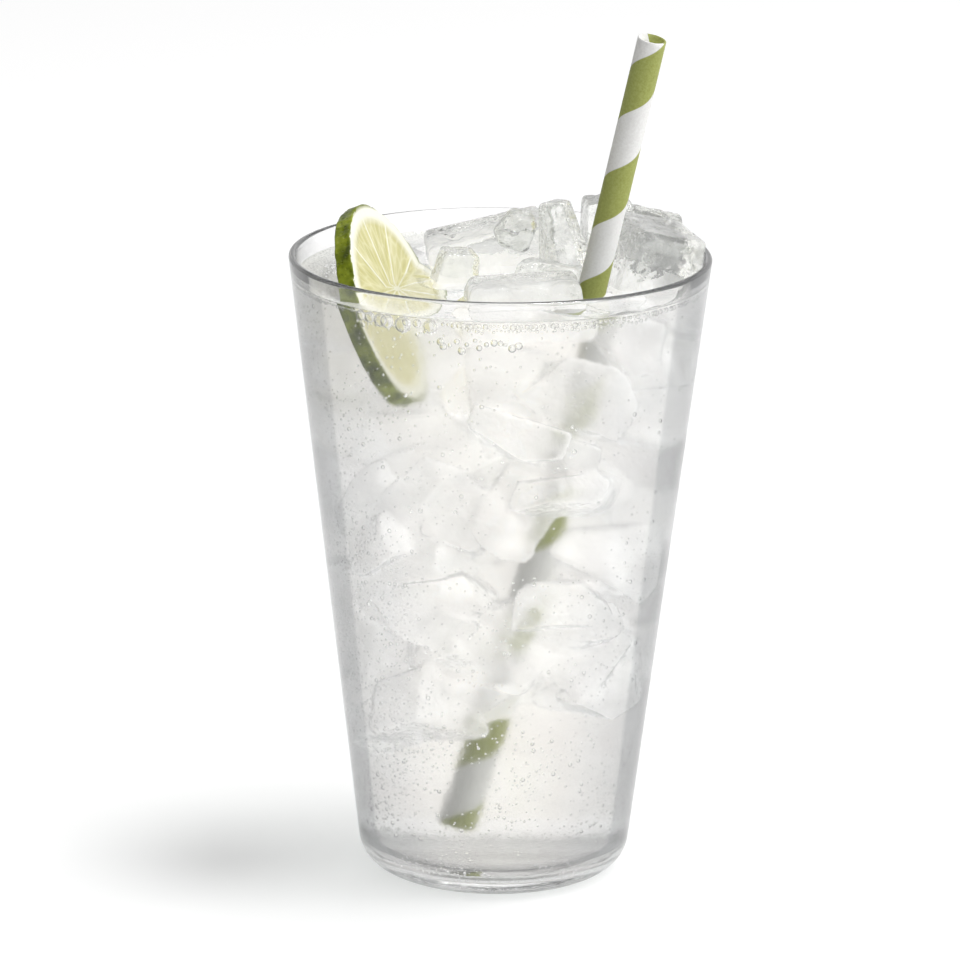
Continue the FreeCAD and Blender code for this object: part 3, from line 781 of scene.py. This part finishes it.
# Lime rind: waxy and glossy, a yellow-green that goes dark in patches, with oil pores.
def limeRind():
    material, tree = newMaterial("waxyLimeRind")
    place = ownFrame(tree, limeMiddle, limeTurn)
    patches = addNode(tree, "ShaderNodeTexNoise", {"Vector": place, "Scale": 1 / mm(4),
                                                   "Detail": 5.0})
    pores = addNode(tree, "ShaderNodeTexVoronoi", {"Vector": place, "Scale": 1 / mm(1.3)})
    tone = addNode(tree, "ShaderNodeValToRGB", {"Fac": patches},
                   stops=[(0.32, "#455106"), (0.46, "#6B780E"), (0.6, "#8B9728"), (0.7, "#B0B85A")])
    pit = addNode(tree, "ShaderNodeMapRange", {"Value": pores, "From Max": 0.3})
    bump = addNode(tree, "ShaderNodeBump", {"Height": pit, "Strength": 0.6, "Distance": mm(0.4)})
    waxy = addNode(tree, "ShaderNodeBsdfPrincipled",
                   {"Base Color": tone, "Roughness": 0.42, "IOR": 1.4, "Normal": bump})
    addNode(tree, "ShaderNodeOutputMaterial", {"Surface": waxy})
    return material


# The slice cut through at one angle, from the middle of its face over the rind to its back.
def limeSection(angle):
    radius, half, curve = lime["radius"], lime["half"], lime["round"]
    rows = []
    for i in range(1, lime["rings"] + 1):
        reach = (radius - curve) * i / lime["rings"]
        dip = 0.0
        if lime["core"] < reach < lime["flesh"]:
            inside = min(reach - lime["core"], lime["flesh"] - reach) / lime["dishEdge"]
            wedge = (angle * lime["segments"] / (2 * math.pi)) % 1
            skin = (0.5 - abs(wedge - 0.5)) * 2 * math.pi / lime["segments"] * reach / lime["skinEdge"]
            dip = lime["dish"] * min(1, inside) * min(1, skin)
        rows.append((reach, half - dip))
    corner = arc((radius - curve, half - curve), curve, 90, 0, 4)[1:]
    wall = [(radius, (half - curve) * (1 - i / 5)) for i in range(1, 5)]
    upper = rows + corner + wall
    return upper + [(radius, 0)] + [(r, -h) for r, h in reversed(upper)]


# The fruit wasn't quite round: how far the edge lies in at this step round it.
def flatness(step):
    heading = 360 * step / lime["around"]
    return sum(depth * math.exp(-(((heading - middle + 180) % 360 - 180) / width) ** 2)
               for middle, width, depth in lime["flats"])


limeVertices, limeFaces = [], []
around, unevenAround = lime["around"], lime["unevenAround"]
sections = [limeSection(2 * math.pi * i / around) for i in range(around)]
rowCount = len(sections[0])
for i, (c, s) in enumerate(circle(around)):
    for radius, height in sections[i]:
        point = Vector((radius * c, radius * s, height))
        bulge = 0.5 + 0.5 * noise.noise(Vector((c * unevenAround, s * unevenAround, height * 300)))
        cut = (lime["uneven"] * bulge + flatness(i)) * (radius / lime["radius"]) ** 2
        if radius > lime["radius"] - lime["poreRim"]:
            pore = noise.voronoi(point / lime["poreLength"])[0][0]
            cut += lime["pore"] * max(0, 1 - pore * 2.2)
        point.x, point.y = point.x - c * cut, point.y - s * cut
        limeVertices.append(point)
limeVertices += [Vector((0, 0, lime["half"])), Vector((0, 0, -lime["half"]))]
for i in range(around):
    a, b = i * rowCount, (i + 1) % around * rowCount
    limeFaces.append((a, b, len(limeVertices) - 2))
    limeFaces += [(a + r + 1, b + r + 1, b + r, a + r) for r in range(rowCount - 1)]
    limeFaces.append((b + rowCount - 1, a + rowCount - 1, len(limeVertices) - 1))
limeVertices = [limeMiddle + limeMatrix @ point for point in limeVertices]
limePiece = meshPiece("limeSlice", limeVertices, limeFaces, [limeFlesh(), limeRind()])
for face in limePiece.data.polygons:
    face.material_index = int(abs(face.normal.dot(limeAxis)) < 0.8 and
                              (face.center - limeMiddle).length > lime["pith"] - mm(1.5))
hand(limePiece, "lime", "lime_slice")
print("lime: cut,", len(limePiece.data.polygons), "faces")

# The straw, a tube of wound paper.
straw = dict(
    radius=mm(3), wall=mm(0.45), length=mm(180), lean=13.9, heading=-32.7, around=72, rows=180,
    boreRows=20, cornerInset=mm(0.08), pitch=mm(24.8), greenShare=0.48, phase=0.793, seam=0.008,
    slack=0.4, slackAt=-60.0, fibreLength=mm(0.5),
)
strawLow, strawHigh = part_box("straw")
strawMiddle = (strawLow + strawHigh) / 2
strawTurn = Euler((0, math.radians(straw["lean"]), math.radians(straw["heading"])))
strawMatrix = strawTurn.to_matrix()


# Paper wound in a spiral: matt white with a green strip, a fine step where the strips meet.
def woundPaper():
    material, tree = newMaterial("woundPaper")
    place = ownFrame(tree, strawMiddle, strawTurn)
    parts = addNode(tree, "ShaderNodeSeparateXYZ", {0: place}).outputs
    angle = addNode(tree, "ShaderNodeMath", {0: parts["Y"], 1: parts["X"]}, operation="ARCTAN2")
    # The strip was wound a little flatter on one side than on the other.
    ahead = addNode(tree, "ShaderNodeMath", {0: angle, 1: math.radians(straw["slackAt"])},
                    operation="SUBTRACT")
    swing = addNode(tree, "ShaderNodeMath", {0: ahead}, operation="SINE")
    uneven = addNode(tree, "ShaderNodeMath", {0: swing, 1: -straw["slack"], 2: angle},
                     operation="MULTIPLY_ADD")
    turns = addNode(tree, "ShaderNodeMath", {0: uneven, 1: 1 / (2 * math.pi)}, operation="MULTIPLY")
    climb = addNode(tree, "ShaderNodeMath", {0: parts["Z"], 1: 1 / straw["pitch"],
                                             2: straw["phase"]}, operation="MULTIPLY_ADD")
    wound = addNode(tree, "ShaderNodeMath", {0: climb, 1: turns}, operation="SUBTRACT")
    share = addNode(tree, "ShaderNodeMath", {0: wound}, operation="FRACT")
    edges = addNode(tree, "ShaderNodeValToRGB", {"Fac": share},
                    stops=[(0.0, 1.0), (straw["greenShare"] - straw["seam"], 1.0),
                           (straw["greenShare"], 0.0), (1 - straw["seam"], 0.0), (1.0, 1.0)])
    fibre = addNode(tree, "ShaderNodeTexNoise", {"Vector": place, "Scale": 1 / straw["fibreLength"],
                                                 "Detail": 5.0, "Roughness": 0.65})
    green = addNode(tree, "ShaderNodeValToRGB", {"Fac": fibre},
                    stops=[(0.3, "#919748"), (0.7, "#AAB163")])
    white = addNode(tree, "ShaderNodeValToRGB", {"Fac": fibre},
                    stops=[(0.3, "#E4E3E0"), (0.7, "#F2F2F0")])
    tone = addNode(tree, "ShaderNodeMix", {0: edges, 6: white, 7: green}, data_type="RGBA")
    bump = addNode(tree, "ShaderNodeBump", {"Height": fibre, "Strength": 0.15, "Distance": mm(0.1)})
    step = addNode(tree, "ShaderNodeBump", {"Height": edges, "Strength": 0.5, "Distance": mm(0.1),
                                            "Normal": bump})
    paper = addNode(tree, "ShaderNodeBsdfPrincipled",
                    {"Base Color": tone, "Roughness": 0.6, "IOR": 1.48, "Normal": step})
    addNode(tree, "ShaderNodeOutputMaterial", {"Surface": paper})
    return material


strawVertices, strawFaces = [], []
around, inset = straw["around"], straw["cornerInset"]
loops = [(straw["radius"], straw["length"] * (i / straw["rows"] - 0.5)) for i in range(straw["rows"] + 1)]
loops[0] = (straw["radius"] - inset, loops[0][1])
loops.insert(1, (straw["radius"], loops[0][1] + inset))
loops[-1] = (straw["radius"], loops[-1][1] - inset)
loops.append((straw["radius"] - inset, straw["length"] / 2))
loops += [(straw["radius"] - straw["wall"], straw["length"] * (0.5 - i / straw["boreRows"]))
          for i in range(straw["boreRows"] + 1)]
for radius, height in loops:
    for c, s in circle(around):
        strawVertices.append(strawMiddle + strawMatrix @ Vector((radius * c, radius * s, height)))
for row in range(len(loops)):
    strawFaces += band(row * around, (row + 1) % len(loops) * around, around)
strawPiece = meshPiece("paperStraw", strawVertices, strawFaces, [woundPaper()])
hand(strawPiece, "straw", "straw")
print("straw: wound,", len(strawPiece.data.polygons), "faces")

# The studio: a matt white table in a white room, with soft light that is stronger at the right.
studio = dict(
    fill=(0.07, 1.08), lift=0.18, before=0.3,   # fill: from the left and from the right
    # Power, size and place of each lamp.
    lamps={"key": (24.0, 0.6, (0.62, -0.1, 2.3)), "side": (8.5, 1.2, (1.7, -0.4, 0.75))},
    lampAim=(0, 0, mm(60)),
    cards=[(0.0, 0.55), (0.05, 0.36), (0.12, 0.48), (0.2, 1.0), (0.82, 1.0), (0.9, 0.66),
           (0.96, 0.55), (1.0, 0.75)],
    strips=[(0.38, 1.0), (0.42, 0.35), (0.47, 0.35), (0.51, 1.0), (0.57, 1.0), (0.6, 0.2),
            (0.7, 0.2), (0.74, 1.0), (0.85, 1.0), (0.88, 0.3)],
)


# One for what the eye meets, straight on, mirrored or through a clear piece.
def seenByEye(tree):
    rays = addNode(tree, "ShaderNodeLightPath").outputs
    seen = addNode(tree, "ShaderNodeMath", {0: rays["Is Camera Ray"], 1: rays["Is Glossy Ray"]},
                   operation="MAXIMUM")
    return addNode(tree, "ShaderNodeMath", {0: seen, 1: rays["Is Transmission Ray"]},
                   operation="MAXIMUM")


# The eye sees the table a little lifted, so that it's white outside the shadow.
tableTop, tree = newMaterial("mattWhiteTable")
lifted = addNode(tree, "ShaderNodeMath", {0: seenByEye(tree), 1: studio["lift"]},
                 operation="MULTIPLY")
matt = addNode(tree, "ShaderNodeBsdfDiffuse", {"Color": "#F3F3F3"})
glow = addNode(tree, "ShaderNodeEmission", {"Strength": lifted})
added = addNode(tree, "ShaderNodeAddShader", {0: matt, 1: glow})
addNode(tree, "ShaderNodeOutputMaterial", {"Surface": added})
table = meshPiece("table", [(-6, -6, 0), (6, -6, 0), (6, 6, 0), (-6, 6, 0)], [(0, 1, 2, 3)],
                  [tableTop])

world = bpy.data.worlds.new("studio")
bpy.context.scene.world = world
world.use_nodes = True
tree = world.node_tree
tree.nodes.clear()
way = addNode(tree, "ShaderNodeTexCoord").outputs["Generated"]
level = addNode(tree, "ShaderNodeVectorMath", {0: way, 1: (1.0, 1.0, 0.0)}, operation="MULTIPLY")
unit = addNode(tree, "ShaderNodeVectorMath", {0: level}, operation="NORMALIZE")
parts = addNode(tree, "ShaderNodeSeparateXYZ", {0: unit})
sideways = addNode(tree, "ShaderNodeMath", {0: parts.outputs["X"], 1: 0.5, 2: 0.5},
                   operation="MULTIPLY_ADD")
# Grey cards stand to both sides of the room; they draw the edges of clear pieces.
cards = addNode(tree, "ShaderNodeValToRGB", {"Fac": sideways}, stops=studio["cards"])
high = addNode(tree, "ShaderNodeSeparateXYZ", {0: way}).outputs
strips = addNode(tree, "ShaderNodeValToRGB", {"Fac": high["Z"]}, stops=studio["strips"])
# The room is darker on the side the glass is looked at from.
ahead = addNode(tree, "ShaderNodeMapRange", {"Value": high["Y"], "From Min": -0.45,
                                             "From Max": -0.05, "To Min": studio["before"]})
dimmed = addNode(tree, "ShaderNodeMix", {0: 1.0, 6: cards, 7: strips}, data_type="RGBA",
                 blend_type="MULTIPLY")
softer = addNode(tree, "ShaderNodeMapRange", {"Value": sideways, "To Min": studio["fill"][0],
                                              "To Max": studio["fill"][1]})
room = addNode(tree, "ShaderNodeBackground", {"Color": dimmed, "Strength": ahead})
fill = addNode(tree, "ShaderNodeBackground", {"Color": "#FFFFFF", "Strength": softer})
mixed = addNode(tree, "ShaderNodeMixShader", {0: seenByEye(tree), 1: fill, 2: room})
addNode(tree, "ShaderNodeOutputWorld", {"Surface": mixed})

for name, (power, width, place) in studio["lamps"].items():
    light = bpy.data.lights.new(name, "AREA")
    light.energy, light.size = power, width
    lamp = addObject(name, light)
    lamp.location = place
    look = Vector(studio["lampAim"]) - lamp.location
    lamp.rotation_euler = look.to_track_quat("-Z", "Y").to_euler()

shot = dict(place=(0, -1.2982, 0.4380), aim=(-0.0038, 0.0047, 0.08405), lens=236.4, roll=0.646)
camera = bpy.data.cameras.new("camera")
camera.lens = shot["lens"]
camera.sensor_width = 36
camera.clip_start = 0.05
cameraObject = addObject("camera", camera)
cameraObject.location = shot["place"]
look = (Vector(shot["aim"]) - cameraObject.location).to_track_quat("-Z", "Y")
cameraObject.rotation_mode = "QUATERNION"
cameraObject.rotation_quaternion = look @ Euler((0, 0, math.radians(shot["roll"]))).to_quaternion()

# Many clear skins lie behind one another, so light needs many steps to get through.
scene = bpy.context.scene
scene.camera = cameraObject
scene.view_settings.view_transform = "Standard"
scene.cycles.max_bounces = 80
scene.cycles.transmission_bounces = 80
scene.cycles.transparent_max_bounces = 48
scene.cycles.glossy_bounces = 80
scene.cycles.diffuse_bounces = 3
scene.cycles.caustics_reflective = False
scene.cycles.caustics_refractive = False
print("studio: set")
